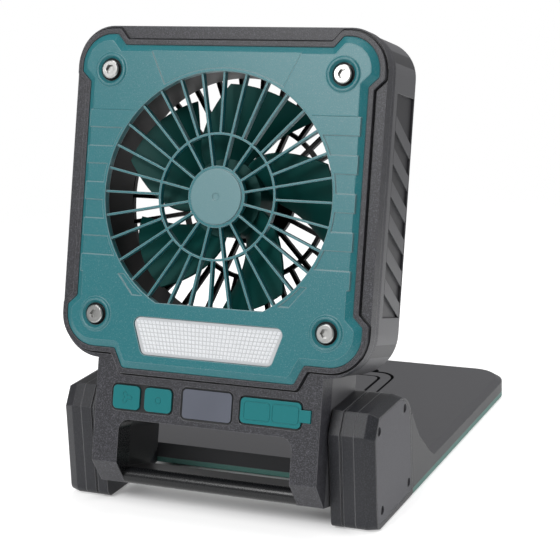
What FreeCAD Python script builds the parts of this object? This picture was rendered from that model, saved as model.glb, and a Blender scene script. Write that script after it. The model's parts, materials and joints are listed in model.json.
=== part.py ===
"""Portable camping fan: a tilting square fan head on a folding base with two hinge blocks."""
import FreeCAD, Part
import Sketcher
import math
import os

os.makedirs("parts", exist_ok=True)
doc = FreeCAD.newDocument("camping_fan")
Vector = FreeCAD.Vector

# Driving dimensions in millimetres and degrees, with what each one is.
DIMENSIONS = [
    ("tilt_angle", 14.75, "backward tilt of the head at rest"),
    ("pivot_y", 22.0, "hinge axis behind the front of the hinge blocks"),
    ("pivot_up", 32.0, "hinge axis above the underside of the shells"),
    ("pivot_drop", 159.0, "fan axis to hinge axis along the head"),
    ("pivot_back", 44.8, "front of the cover to the hinge axis, across the head"),
    ("foot_height", 1.2, "rubber feet stand proud of the shells"),
    ("foot_radius", 7.0, "rubber foot"),
    ("fit_gap", 0.25, "clearance between parts that fit in each other"),
    ("run_gap", 0.06, "radial clearance of a running fit"),
    ("wall", 2.4, "wall of the moulded shells"),
    ("head_half", 103.4, "half width of the bezel"),
    ("head_top", 103.6, "fan axis to the top of the bezel"),
    ("head_low", 104.0, "fan axis to the bottom of the bezel"),
    ("head_top_round", 24.0, "upper corners of the bezel"),
    ("head_low_round", 28.0, "lower corners of the bezel"),
    ("bezel_face", 5.0, "bezel face behind the front of the cover"),
    ("bezel_band", 14.0, "rear edge of the wide band of the bezel"),
    ("band_step", 0.8, "step in behind the wide band"),
    ("parting", 21.0, "parting plane between front shell and rear housing"),
    ("head_depth", 62.0, "rear face of the housing"),
    ("cover_edge", 10.6, "bezel beside the straight sides of the cover"),
    ("cover_drop", 12.1, "bezel above the straight top of the cover"),
    ("tongue_reach", 5.0, "the cover reaches below the round part of the bezel"),
    ("lobe_edge", 4.3, "bezel beside the lobes"),
    ("lobe_drop", 5.4, "bezel above the upper lobes"),
    ("lobe_rest", 7.0, "bezel below the lower lobes"),
    ("lobe_round", 20.0, "rounding of the lobes"),
    ("lobe_wide", 29.6, "width of an upper lobe"),
    ("lobe_rise", 6.0, "length of the slanted step at a lobe"),
    ("lobe_tall", 29.7, "height of an upper lobe"),
    ("lobe_tall_low", 31.0, "height of a lower lobe"),
    ("tongue_half", 58.0, "half width of the bottom edge of the cover"),
    ("margin_wide", 4.4, "width of the slanted margin of the cover"),
    ("margin_deep", 3.0, "depth of the slanted margin of the cover"),
    ("field_deep", 0.5, "depth of the lowered fields of the cover"),
    ("pad_edge", 13.1, "bezel and margin beside the raised pads"),
    ("pad_tall", 11.0, "height of one raised pad"),
    ("pad_pitch", 22.6, "spacing of the raised pads"),
    ("lip_wide", 3.0, "raised lip round the cover"),
    ("lip_front", 2.6, "front of the lip behind the front of the cover"),
    ("groove_wide", 1.1, "dark groove outside the lip"),
    ("groove_deep", 1.0, "depth of that groove"),
    ("fan_radius", 76.0, "fan opening"),
    ("fan_chord", 67.0, "fan axis to the straight bottom of the opening"),
    ("rim_wall", 2.0, "wall of the rim round the opening"),
    ("rim_deep", 5.0, "rear edge of the rim"),
    ("rib_front", 1.0, "front edge of the grille ribs"),
    ("rib_wide", 1.4, "grille rib"),
    ("ring_radius", 38.4, "middle of the grille ring"),
    ("hub_radius", 18.9, "hub disc of the grille"),
    ("hub_face", 16.9, "flat face of the hub disc"),
    ("rib_count", 32.0, "grille ribs at the opening"),
    ("screw_in", 25.9, "cover screws in from the sides of the bezel"),
    ("screw_drop", 28.0, "upper cover screws below the top of the bezel"),
    ("screw_rise", 27.2, "lower cover screws above the bottom of the bezel"),
    ("collar_radius", 9.9, "raised collar round a cover screw"),
    ("collar_high", 0.8, "collar above the cover"),
    ("screw_head", 5.7, "radius of a cover screw head"),
    ("screw_shank", 2.0, "radius of a cover screw shank"),
    ("screw_long", 14.0, "length of a cover screw shank"),
    ("washer_radius", 6.8, "black ring under a cover screw head"),
    ("hex_radius", 2.9, "hex socket across corners, half"),
    ("lens_top", 76.4, "top edge of the lens"),
    ("lens_low", 99.4, "bottom edge of the lens"),
    ("lens_half_top", 51.2, "half width of the lens at its top"),
    ("lens_half_low", 43.4, "half width of the lens at its bottom"),
    ("lens_round", 4.0, "corners of the lens"),
    ("lens_thick", 2.4, "lens plate"),
    ("board_thick", 1.6, "printed circuit boards"),
    ("neck_half", 76.0, "half width of the neck"),
    ("neck_low", 168.5, "lower end of the neck face"),
    ("leg_end", 182.5, "lower end of the legs"),
    ("neck_back", 60.0, "rear of the legs"),
    ("grip_half", 58.5, "half width of the handle opening"),
    ("grip_top", 141.0, "top of the handle opening"),
    ("grip_round", 7.0, "upper corners of the handle opening"),
    ("bar_radius", 5.2, "front half of the grip bar"),
    ("bar_drop", 177.3, "fan axis to the grip bar"),
    ("bar_back", 21.0, "grip bar behind the front of the cover"),
    ("panel_line", 127.2, "fan axis to the middle of the control panel"),
    ("button_wide", 18.6, "push buttons"),
    ("button_high", 14.8, "push buttons"),
    ("button_round", 3.0, "corners of the push buttons"),
    ("button_travel", 1.0, "stroke of the push buttons"),
    ("button_a", 54.2, "first button left of the middle"),
    ("button_b", 32.2, "second button left of the middle"),
    ("display_at", 1.0, "display right of the middle"),
    ("display_wide", 33.0, "display window"),
    ("display_high", 18.0, "display window"),
    ("port_at", 43.6, "port cover right of the middle"),
    ("port_wide", 39.6, "port cover"),
    ("port_high", 15.6, "port cover"),
    ("port_tab", 6.5, "pull tab of the port cover"),
    ("tab_high", 7.6, "pull tab of the port cover"),
    ("pin_radius", 5.0, "hinge pins"),
    ("pin_long", 17.2, "hinge pins"),
    ("side_gap", 1.0, "gap between the neck and a hinge block"),
    ("block_out", 106.0, "outer face of a hinge block"),
    ("seam_in", 13.0, "outer face of a block to the seam of its housing"),
    ("block_long", 68.0, "length of a hinge block"),
    ("block_high", 72.8, "height of a hinge block over the shells' underside"),
    ("block_face", 60.1, "height of the front face of a block"),
    ("facet_deep", 8.5, "front top facet of a block"),
    ("block_round", 24.0, "rear top rounding of a block"),
    ("block_low_round", 5.0, "lower front rounding of a block"),
    ("block_groove", 1.5, "dark groove round a block"),
    ("strip_wide", 7.0, "strip between the groove and the inner face"),
    ("bevel_wide", 6.4, "bevel of the outer block edge, sideways"),
    ("bevel_deep", 3.2, "bevel of the outer block edge, inwards"),
    ("side_plate", 2.6, "side cover plates"),
    ("plate_end", 293.0, "rear end of the base plate"),
    ("plate_front", 68.3, "front end of the base plate"),
    ("plate_high", 14.0, "base plate over the shells' underside"),
    ("plate_seam", 3.6, "seam between the base shells"),
    ("plate_round", 25.0, "rear corners of the base plate"),
    ("plate_chamfer", 4.8, "chamfered top edge of the base plate"),
    ("gusset_end", 113.0, "rear end of a gusset"),
    ("gusset_thick", 2.3, "outer cheek of a gusset"),
    ("gusset_wide", 22.0, "web of a gusset along the rear of its block"),
    ("gusset_high", 54.0, "height of a gusset at its block"),
    ("loop_half", 27.5, "half width of the hanging loop"),
    ("loop_end", 257.0, "rear end of the hanging loop"),
    ("loop_pivot", 172.0, "hinge axis of the hanging loop"),
    ("loop_bar", 7.5, "width of the bar of the loop"),
    ("loop_thick", 5.0, "thickness of the loop"),
    ("loop_round", 13.0, "corners of the loop"),
    ("loop_gap", 2.1, "slot round the loop"),
    ("cell_radius", 9.1, "battery cell"),
    ("cell_long", 65.0, "battery cell"),
    ("motor_radius", 17.0, "motor can"),
    ("motor_long", 21.0, "motor can"),
    ("shaft_radius", 1.5, "motor shaft"),
    ("blade_hub", 24.0, "hub of the fan blades"),
    ("blade_tip", 70.0, "tip of the fan blades"),
    ("blade_front", 14.0, "front of the fan behind the front of the cover"),
    ("blade_count", 5.0, "fan blades"),
    ("blade_thick", 1.6, "fan blade"),
    ("duct_wall", 2.0, "wall of the air duct"),
    ("duct_end", 36.0, "rear end of the air duct"),
    ("duct_flange", 5.0, "flange of the air duct behind the face of the bezel"),
    ("lamp_clear", 62.0, "lower end of that flange below the fan axis"),
    ("grille_radius", 90.0, "rear grille"),
    ("grille_ring", 49.0, "middle ring of the rear grille"),
    ("grille_hub", 27.0, "hub of the rear grille that carries the motor"),
    ("grille_bar", 2.6, "bars of the rear grille"),
    ("grille_count", 32.0, "bars at the edge of the rear grille"),
    ("grille_thick", 4.0, "rear grille"),
]

sheet = doc.addObject("Spreadsheet::Sheet", "Sizes")
for row, (alias, number, meaning) in enumerate(DIMENSIONS, start=1):
    sheet.set("A%d" % row, meaning)
    sheet.set("B%d" % row, str(number))
    sheet.setAlias("B%d" % row, alias)
doc.recompute()


class Size:
    """A length that carries its number and the formula of sheet cells behind it."""

    def __init__(self, value, formula):
        self.value = value
        self.formula = formula

    def __add__(self, other):
        other = size_of(other)
        return Size(self.value + other.value, "(%s + %s)" % (self.formula, other.formula))

    def __radd__(self, other):
        return size_of(other) + self

    def __sub__(self, other):
        other = size_of(other)
        return Size(self.value - other.value, "(%s - %s)" % (self.formula, other.formula))

    def __rsub__(self, other):
        return size_of(other) - self

    def __mul__(self, other):
        other = size_of(other)
        return Size(self.value * other.value, "(%s * %s)" % (self.formula, other.formula))

    def __rmul__(self, other):
        return size_of(other) * self

    def __truediv__(self, other):
        other = size_of(other)
        return Size(self.value / other.value, "(%s / %s)" % (self.formula, other.formula))

    def __rtruediv__(self, other):
        return size_of(other) / self

    def __neg__(self):
        return Size(-self.value, "(0 - %s)" % self.formula)


def size_of(number):
    """A plain number as a Size."""
    if isinstance(number, Size):
        return number
    return Size(float(number), "%.9g" % number)


def root(size):
    return Size(math.sqrt(size.value), "sqrt(%s)" % size.formula)


def sine(angle):
    return Size(math.sin(math.radians(angle.value)), "sin(%s)" % angle.formula)


def cosine(angle):
    return Size(math.cos(math.radians(angle.value)), "cos(%s)" % angle.formula)


class Dimensions:
    """Gives each sheet cell as a Size under its alias."""

    def __getattr__(self, alias):
        cell = sheet.get(alias)
        return Size(float(getattr(cell, "Value", cell)), "Sizes.%s" % alias)


S = Dimensions()

# Places that follow from the bezel and the blocks.
cover_half, lobe_half = S.head_half - S.cover_edge, S.head_half - S.lobe_edge
cover_top, cover_low = S.head_top - S.cover_drop, S.head_low + S.tongue_reach
lobe_top, lobe_low = S.head_top - S.lobe_drop, S.head_low - S.lobe_rest
lobe_inner = lobe_half - S.lobe_wide
lobe_side_top, lobe_side_low = lobe_top - S.lobe_tall, lobe_low - S.lobe_tall_low
pad_half = S.head_half - S.pad_edge
screw_half = S.head_half - S.screw_in
screw_top, screw_low = S.head_top - S.screw_drop, S.head_low - S.screw_rise
block_seam = S.block_out - S.seam_in

# Where the head and the base stand in the part's frame.
SIN, COS = sine(S.tilt_angle), cosine(S.tilt_angle)
head_y = S.pivot_y + S.pivot_drop * SIN - S.pivot_back * COS
head_z = S.pivot_up + S.pivot_drop * COS + S.pivot_back * SIN
front_y = head_y - S.neck_low * SIN + S.bezel_face * COS
middle_y = (front_y + S.plate_end) / 2
BASE = (0, -middle_y, S.foot_height, (1, 0, 0), 0)
HEAD = (0, head_y - middle_y, head_z + S.foot_height, (1, 0, 0), 90 - S.tilt_angle)

serial = 0
NODES = {}


def fresh(name):
    """A name for a helper object."""
    global serial
    serial += 1
    return "%s_%03d" % (name, serial)


def bind(item, prop, size):
    item.setExpression(prop, size_of(size).formula)


def place(item, x=0, y=0, z=0, axis=(0, 0, 1), angle=0):
    """Puts an object at a formula place, turned about an axis."""
    at = tuple(size_of(c).formula for c in (x, y, z))
    turn = tuple(axis) + (size_of(angle).formula,)
    item.setExpression(
        "Placement",
        "create(<<placement>>; create(<<vector>>; %s; %s; %s); " % at
        + "create(<<rotation>>; create(<<vector>>; %g; %g; %g); %s))" % turn)
    return item


def keep(label, item, frame):
    """Names a finished piece, sets its frame and notes it for export."""
    item.Label = label
    if frame is not None:
        place(item, *frame)
    NODES[label] = item
    return item


TURNS = {"z": ((0, 0, 1), 0), "x": ((0, 1, 0), 90), "y": ((1, 0, 0), -90), "-x": ((0, 1, 0), -90)}


def cylinder(x, y, z, radius, height, along="z"):
    item = doc.addObject("Part::Cylinder", fresh("cylinder"))
    bind(item, "Radius", radius)
    bind(item, "Height", height)
    axis, angle = TURNS[along]
    return place(item, x, y, z, axis, angle)


def cone(x, y, z, low, high, height):
    item = doc.addObject("Part::Cone", fresh("cone"))
    bind(item, "Radius1", low)
    bind(item, "Radius2", high)
    bind(item, "Height", height)
    return place(item, x, y, z)


def box(x, y, z, length, width, height):
    item = doc.addObject("Part::Box", fresh("box"))
    bind(item, "Length", length)
    bind(item, "Width", width)
    bind(item, "Height", height)
    return place(item, x, y, z)


def middle_box(x, y, z, length, width, height):
    """A box with x and y at the middle of its footprint."""
    x, y = size_of(x), size_of(y)
    length, width = size_of(length), size_of(width)
    return box(x - length / 2, y - width / 2, z, length, width, height)


def fuse(*items):
    item = doc.addObject("Part::MultiFuse", fresh("fuse"))
    item.Shapes = list(items)
    item.Refine = True
    return item


def cut(base, *tools):
    item = doc.addObject("Part::Cut", fresh("cut"))
    item.Base = base
    item.Tool = tools[0] if len(tools) == 1 else fuse(*tools)
    return item


def common(first, second):
    item = doc.addObject("Part::MultiCommon", fresh("common"))
    item.Shapes = [first, second]
    return item


def group(*items):
    """Separate solids held in one node."""
    item = doc.addObject("Part::Compound", fresh("group"))
    item.Links = list(items)
    return item


def tube(x, y, z, outer, inner, height, along="z"):
    return cut(cylinder(x, y, z, outer, height, along), cylinder(x, y, z, inner, height, along))


def turned(piece, angle):
    """The same piece once more, turned about the fan axis."""
    link = doc.addObject("App::Link", fresh("turned"))
    link.LinkedObject = piece
    link.LinkTransform = True
    return place(link, 0, 0, 0, (0, 0, 1), angle)


PLANES = {
    "xy": FreeCAD.Rotation(),
    "yz": FreeCAD.Rotation(Vector(1, 1, 1), 120),
}


def outline(vertices, plane="xy"):
    """A closed sketch through vertices (x, y) or (x, y, round), each bound to the sheet.

    A rounded vertex keeps its sharp corner as a point that both edges run through,
    and gets an arc tangent to both."""
    sketch = doc.addObject("Sketcher::SketchObject", fresh("outline"))
    sketch.Placement = FreeCAD.Placement(Vector(), PLANES[plane])
    count = len(vertices)
    sizes = [[size_of(value) for value in vertex] for vertex in vertices]
    corners = [Vector(vertex[0].value, vertex[1].value, 0) for vertex in sizes]
    leaves, arrives, arcs = [], [], []
    for i, corner in enumerate(corners):
        if len(sizes[i]) < 3:
            leaves.append(corner)
            arrives.append(corner)
            arcs.append(None)
            continue
        back = (corners[i - 1] - corner).normalize()
        ahead = (corners[(i + 1) % count] - corner).normalize()
        half = back.getAngle(ahead) / 2
        radius = sizes[i][2].value
        reach = radius / math.tan(half)
        first = corner + back * reach
        last = corner + ahead * reach
        centre = corner + (back + ahead).normalize() * (radius / math.sin(half))
        forward = ahead.cross(back).z > 0
        begin, finish = (first, last) if forward else (last, first)
        begin_angle = math.atan2(begin.y - centre.y, begin.x - centre.x)
        finish_angle = math.atan2(finish.y - centre.y, finish.x - centre.x)
        circle = Part.Circle(centre, Vector(0, 0, 1), radius)
        arrives.append(first)
        leaves.append(last)
        arcs.append((Part.ArcOfCircle(circle, begin_angle, finish_angle), forward))
    for i in range(count):
        sketch.addGeometry(Part.LineSegment(leaves[i], arrives[(i + 1) % count]), False)
    rules, formulas = [], []

    def rule(formula, *words):
        rules.append(Sketcher.Constraint(*words))
        formulas.append(formula)

    for i in range(count):
        before = (i - 1) % count
        point = sketch.addGeometry(Part.Point(corners[i]), True)
        x, y = sizes[i][0], sizes[i][1]
        rule(x.formula, "DistanceX", -1, 1, point, 1, x.value)
        rule(y.formula, "DistanceY", -1, 1, point, 1, y.value)
        if arcs[i] is None:
            rule(None, "Coincident", point, 1, before, 2)
            rule(None, "Coincident", point, 1, i, 1)
            continue
        shape, forward = arcs[i]
        arc = sketch.addGeometry(shape, False)
        start, end = (1, 2) if forward else (2, 1)
        rule(None, "PointOnObject", point, 1, before)
        rule(None, "PointOnObject", point, 1, i)
        rule(None, "Tangent", before, 2, arc, start)
        rule(None, "Tangent", arc, end, i, 1)
        rule(sizes[i][2].formula, "Radius", arc, sizes[i][2].value)
    sketch.addConstraint(rules)
    for i, formula in enumerate(formulas):
        if formula is not None:
            sketch.setExpression("Constraints[%d]" % i, formula)
    return sketch


def extrude(wire, start, end, axis=(0, 0, 1)):
    """A solid from a closed wire between two levels along an axis."""
    item = doc.addObject("Part::Extrusion", fresh("extrusion"))
    item.Base = wire
    item.DirMode = "Custom"
    item.Dir = Vector(*axis)
    item.Solid = True
    bind(item, "LengthFwd", end)
    bind(item, "LengthRev", -size_of(start))
    return item


def loft(*wires):
    """A solid with flat flanks through closed wires of the same kind."""
    item = doc.addObject("Part::Loft", fresh("loft"))
    item.Sections = list(wires)
    item.Solid = True
    item.Ruled = True
    return item


def fillet_edges(item, picks, radius):
    doc.recompute()
    done = doc.addObject("Part::Fillet", fresh("fillet"))
    done.Base = item
    chosen = [i + 1 for i, edge in enumerate(item.Shape.Edges) if picks(edge)]
    done.Edges = [(i, size_of(radius).value, size_of(radius).value) for i in chosen]
    return done


def at_level(level, axis="z"):
    """Accepts edges that lie wholly at one level."""
    index = "xyz".index(axis)

    def picks(edge):
        return all(abs(v.Point[index] - size_of(level).value) < 1e-4 for v in edge.Vertexes)

    return picks


# Outlines of the head that several pieces share.
def cover_outline(inset=0):
    """The green cover: straight edges between four rounded lobes, and a low tongue.

    Moved in by an inset; the slanted steps keep their distance as well."""
    inset = size_of(inset)
    soft = 2.0
    lobe = S.lobe_round - inset
    along_top = inset * 0.44
    along_side = inset * 0.43
    along_low = inset * 0.62
    right = [
        (lobe_inner + along_top, cover_top - inset, soft),
        (lobe_inner + S.lobe_rise + along_top, lobe_top - inset, soft),
        (lobe_half - inset, lobe_top - inset, lobe),
        (lobe_half - inset, lobe_side_top + S.lobe_rise + along_side, soft),
        (cover_half - inset, lobe_side_top + along_side, soft),
        (cover_half - inset, -lobe_side_low - along_side, soft),
        (lobe_half - inset, -lobe_side_low - S.lobe_rise - along_side, soft),
        (lobe_half - inset, -lobe_low + inset, lobe),
        (S.tongue_half + S.lobe_rise - along_low, -lobe_low + inset, soft),
        (S.tongue_half - along_low, -cover_low + inset, 3.0),
    ]
    left = [(-vertex[0],) + vertex[1:] for vertex in reversed(right)]
    return outline(right + left)


def head_outline(inset=0):
    inset = size_of(inset)
    half, top, low = S.head_half - inset, S.head_top - inset, S.head_low - inset
    return outline([
        (half, top, S.head_top_round - inset), (half, -low, S.head_low_round - inset),
        (-half, -low, S.head_low_round - inset), (-half, top, S.head_top_round - inset),
    ])


def lens_outline(inset=0):
    inset = size_of(inset)
    lean = inset * 0.85
    return outline([
        (S.lens_half_top - inset * 1.4, -S.lens_top - inset, S.lens_round - inset),
        (S.lens_half_low - lean, -S.lens_low + inset, S.lens_round - inset),
        (lean - S.lens_half_low, -S.lens_low + inset, S.lens_round - inset),
        (inset * 1.4 - S.lens_half_top, -S.lens_top - inset, S.lens_round - inset),
    ])


def plate_outline(x, y, wide, high, corner, growth=0):
    """A rounded rectangle about a middle, grown on every side."""
    x, y, wide, high, corner, growth = (size_of(c) for c in (x, y, wide, high, corner, growth))
    wide, high, corner = wide + 2 * growth, high + 2 * growth, corner + growth
    return outline([
        (x + wide / 2, y + high / 2, corner),
        (x + wide / 2, y - high / 2, corner),
        (x - wide / 2, y - high / 2, corner),
        (x - wide / 2, y + high / 2, corner),
    ])


def display_outline(growth=0):
    return plate_outline(S.display_at, -S.panel_line, S.display_wide, S.display_high, 2.5,
                         growth)


def port_outline(growth=0):
    return plate_outline(S.port_at, -S.panel_line, S.port_wide, S.port_high, 3.0, growth)


grip_wire = outline([
    (S.grip_half, -S.grip_top, S.grip_round),
    (S.grip_half, -S.leg_end - 10),
    (-S.grip_half, -S.leg_end - 10),
    (-S.grip_half, -S.grip_top, S.grip_round),
])
SCREWS = [(sign * screw_half, level) for level in (screw_top, -screw_low)
          for sign in (-1, 1)]
BUTTONS = {"fan_button": -S.button_a, "light_button": -S.button_b}


def button_outline(name, growth=0):
    return plate_outline(BUTTONS[name], -S.panel_line, S.button_wide, S.button_high,
                         S.button_round, growth)


def front_cover():
    """Cover plate, rim, grille and collars in one green moulding."""
    plate = fuse(extrude(cover_outline(), -S.bezel_face, -S.margin_deep),
                 loft(place(cover_outline(), 0, 0, -S.margin_deep),
                      cover_outline(S.margin_wide)))
    # Chord-cut fan opening
    disc = cylinder(0, 0, -20, S.fan_radius, 40)
    keep_in = box(-150, -S.fan_chord, -20, 300, 300, 40)
    opening = common(disc, keep_in)
    plate = cut(plate, opening)
    # Lowered fields between the corner plates and the side pads
    top_field = outline([(-50.4, 88.6), (50.4, 88.6), (39.8, 67.2), (-39.8, 67.2)])
    fields = [extrude(top_field, -S.field_deep, 5)]
    for sign in (-1, 1):
        side_field = outline([
            (sign * 58.5, 50.8), (sign * 97, 50.8), (sign * 97, -50.6), (sign * 63.4, -50.6),
            (sign * 52.7, -63.3), (sign * 44, -63.3)])
        fields.append(extrude(side_field, -S.field_deep, 5))
    plate = cut(plate, *fields)
    # Raised pads beside the opening and a raised band round the rim
    raised = []
    for sign in (-1, 1):
        for step in range(-2, 3):
            middle = step * S.pad_pitch
            upper = middle + S.pad_tall / 2
            lower = middle - S.pad_tall / 2
            pad = outline([
                (sign * root((S.fan_radius + 1) * (S.fan_radius + 1) - upper * upper), upper),
                (sign * pad_half, upper), (sign * pad_half, lower),
                (sign * root((S.fan_radius + 1) * (S.fan_radius + 1) - lower * lower), lower)])
            raised.append(extrude(pad, -S.margin_deep, 0))
    band = tube(0, 0, -S.rim_deep, S.fan_radius + S.rim_wall, S.fan_radius, S.rim_deep)
    band = common(band, box(-150, -S.fan_chord, -20, 300, 300, 40))
    # Straight bottom of the rim
    sill_half = root(S.fan_radius * S.fan_radius - S.fan_chord * S.fan_chord) + 1
    sill = box(-sill_half, -S.fan_chord - S.rim_wall, -S.rim_deep, 2 * sill_half, S.rim_wall,
               S.rim_deep - 1)
    # Grille
    deep = S.rim_deep - S.rib_front
    half_ribs = S.rib_count / 2
    long_rib = box(-S.rib_wide / 2, S.hub_radius - 1, -S.rim_deep, S.rib_wide,
                   S.fan_radius - S.hub_radius + 2, deep)
    short_rib = box(-S.rib_wide / 2, S.ring_radius, -S.rim_deep, S.rib_wide,
                    S.fan_radius - S.ring_radius + 1, deep)
    ribs = []
    for index in range(int(half_ribs.value)):
        for rib, shift in ((long_rib, 0.5), (short_rib, 0)):
            ribs.append(turned(rib, 360 * (index + shift) / half_ribs))
    cage = common(group(*ribs), cylinder(0, 0, -S.rim_deep, S.fan_radius + 1, deep))
    cage = common(cage, box(-150, -S.fan_chord - 1, -20, 300, 300, 40))
    ring = tube(0, 0, -S.rim_deep, S.ring_radius + S.rib_wide / 2,
                S.ring_radius - S.rib_wide / 2, deep)
    hub = fuse(cylinder(0, 0, -S.rim_deep, S.hub_radius, deep),
               cylinder(0, 0, -S.rim_deep, S.hub_face, S.rim_deep - 0.2))
    collars = []
    for x, y in SCREWS:
        collars.append(cylinder(x, y, -S.bezel_face, S.collar_radius + 1, S.bezel_face))
        collars.append(cone(x, y, 0, S.collar_radius + 1, S.collar_radius - 0.2,
                            S.collar_high + 0.2))
    body = fuse(plate, band, sill, *(raised + collars))
    # Screw seats, screw holes and the seat of the lens
    tools = [extrude(lens_outline(-S.fit_gap), -20, 5), extrude(lens_outline(-1.6), -20, -3.4)]
    for x, y in SCREWS:
        tools.append(cylinder(x, y, -1.6, S.washer_radius + S.fit_gap, 8))
        tools.append(cone(x, y, -0.6, S.washer_radius + S.fit_gap, S.collar_radius - 0.9,
                          S.collar_high + 0.9))
        tools.append(cylinder(x, y, -20, S.screw_shank + S.fit_gap, 30))
    body = cut(body, *tools)
    hub = cut(hub, cylinder(0, 0, -S.rim_deep, S.hub_face - 1, S.rim_deep - 3.2),
              cone(0, 0, -0.8, 1.9, 2.9, 1))
    body = fuse(body, ring, hub, cage)
    keep("front_cover", group(body), HEAD)


def cover_screws():
    screws, washers = [], []
    for x, y in SCREWS:
        head = fuse(cylinder(x, y, -0.8, S.screw_head, 2.2),
                    cone(x, y, 1.4, S.screw_head, S.screw_head - 0.7, 0.7))
        shank = cylinder(x, y, -0.8 - S.screw_long, S.screw_shank, S.screw_long)
        socket = doc.addObject("Part::Prism", fresh("socket"))
        socket.Polygon = 6
        bind(socket, "Circumradius", S.hex_radius)
        socket.Height = 4
        place(socket, x, y, -0.4)
        screws.append(cut(fuse(head, shank), socket))
        washers.append(tube(x, y, -1.6, S.washer_radius, S.screw_shank + S.fit_gap, 0.8))
    keep("cover_screws", group(*screws), HEAD)
    keep("screw_washers", group(*washers), HEAD)


def led_lamp():
    lens = fuse(extrude(lens_outline(), -3.6, -0.8),
                extrude(lens_outline(-1.3), 0.1 - S.bezel_face, -3.5))
    keep("led_lens", group(lens), HEAD)
    floor = -S.bezel_face - S.wall
    board = cut(extrude(lens_outline(-3.0), floor - S.board_thick, floor),
                cylinder(0, 0, -20, S.fan_radius + S.duct_wall + 0.6, 20))
    chips = []
    for row_at in (-S.lens_top - 8.1, -S.lens_top - 15.1):
        for index in range(11):
            chips.append(middle_box((index - 5) * 7.4, row_at, floor - 0.2, 3.5, 2.8, 0.9))
    keep("led_board", fuse(board, *chips), HEAD)


def front_shell():
    """Bezel, control panel and the front half of the legs and grip."""
    bezel = extrude(head_outline(), -S.bezel_band, -S.bezel_face)
    skirt = extrude(head_outline(S.band_step), -S.parting, -S.bezel_band)
    neck = outline([
        (-S.head_low + 14, -S.bezel_face), (-S.neck_low, -S.bezel_face),
        (-S.leg_end, -S.parting + 1.5), (-S.leg_end, -S.parting),
        (-S.head_low + 14, -S.parting)], "yz")
    neck_block = extrude(neck, -S.neck_half, S.neck_half, (1, 0, 0))
    lip = extrude(cover_outline(-S.lip_wide - S.fit_gap), -S.bezel_face, -S.lip_front)
    shell = fuse(bezel, skirt, neck_block, lip)
    # Hollow behind the face
    hollow = extrude(head_outline(S.wall + S.band_step), -S.parting - 5,
                     -S.bezel_face - S.wall)
    panel_room = outline([
        (S.neck_half - S.wall, -S.head_low + 12), (S.neck_half - S.wall, -S.grip_top + S.wall),
        (-S.neck_half + S.wall, -S.grip_top + S.wall),
        (-S.neck_half + S.wall, -S.head_low + 12)])
    hollow_neck = extrude(panel_room, -S.parting - 5, -S.bezel_face - S.wall)
    leg_rooms = []
    for sign in (-1, 1):
        leg_middle = (S.neck_half + S.grip_half) / 2
        leg_rooms.append(middle_box(sign * leg_middle, -S.grip_top - 12, -S.parting - 5,
                                    S.neck_half - S.grip_half - 2 * S.wall, 26,
                                    S.parting + 5 - S.bezel_face - S.wall))
    seat = extrude(cover_outline(-S.fit_gap), -S.bezel_face, 5)
    groove = cut(extrude(cover_outline(-S.lip_wide - S.fit_gap - S.groove_wide),
                         -S.bezel_face - S.groove_deep, 5),
                 extrude(cover_outline(-S.lip_wide - S.fit_gap), -20, 8))
    tools = [hollow, hollow_neck, seat, groove, extrude(grip_wire, -40, 5),
             cylinder(0, 0, -40, S.fan_radius + S.rim_wall + S.fit_gap, 50),
             extrude(lens_outline(-0.8), -S.bezel_face - S.wall - 1, 0)] + leg_rooms
    shell = cut(shell, *tools)
    pillars = [cylinder(x, y, -S.parting, 5.5, S.parting - S.bezel_face - 1)
               for x, y in SCREWS]
    # Front half of the grip
    bar = cylinder(-S.grip_half - 1, -S.bar_drop, -S.bar_back, S.bar_radius,
                   2 * S.grip_half + 2, "x")
    bar = common(bar, box(-100, -200, -S.parting, 200, 60, 60))
    shell = fuse(shell, bar, *pillars)
    # Windows for the buttons, the display and the ports, and the screw holes
    tools = [cylinder(x, y, -S.screw_long - 1.5, S.screw_shank, 20) for x, y in SCREWS]
    for name in BUTTONS:
        tools.append(extrude(button_outline(name, S.fit_gap), -12, 0))
    tools.append(extrude(display_outline(S.fit_gap), -12, 0))
    frame_wire = plate_outline((-S.button_a - S.button_b) / 2, -S.panel_line,
                               S.button_a - S.button_b + S.button_wide + 2.6,
                               S.button_high + 2.6, S.button_round + 1)
    for wire in (frame_wire, display_outline(1.3), port_outline(1.3)):
        tools.append(extrude(wire, -S.bezel_face - 0.5, 0))
    port_seat = extrude(port_outline(S.fit_gap), -S.bezel_face - 1.2, 0)
    tab_seat = middle_box(S.port_at + S.port_wide / 2 + S.port_tab / 2 - 0.5, -S.panel_line,
                          -S.bezel_face - 1.2, S.port_tab + 1.6, S.tab_high + 0.6, 8)
    flap_room = box(S.port_at - S.port_wide / 2 - 0.6, -S.panel_line - S.port_high / 2 - 0.25,
                    -S.bezel_face - 1.8, 2.8, S.port_high + 0.5, 8)
    window = middle_box(S.port_at, -S.panel_line, -15, S.port_wide - 6, 9, 12)
    shell = cut(shell, port_seat, tab_seat, flap_room, window, *tools)
    keep("front_shell", group(shell), HEAD)


def side_rib(index):
    """A slanted bar in the side recess of the housing."""
    top = 55 - index * 19.5
    return [(top, -27), (top - 15, -57), (top - 24, -57), (top - 9, -27)]


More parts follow.
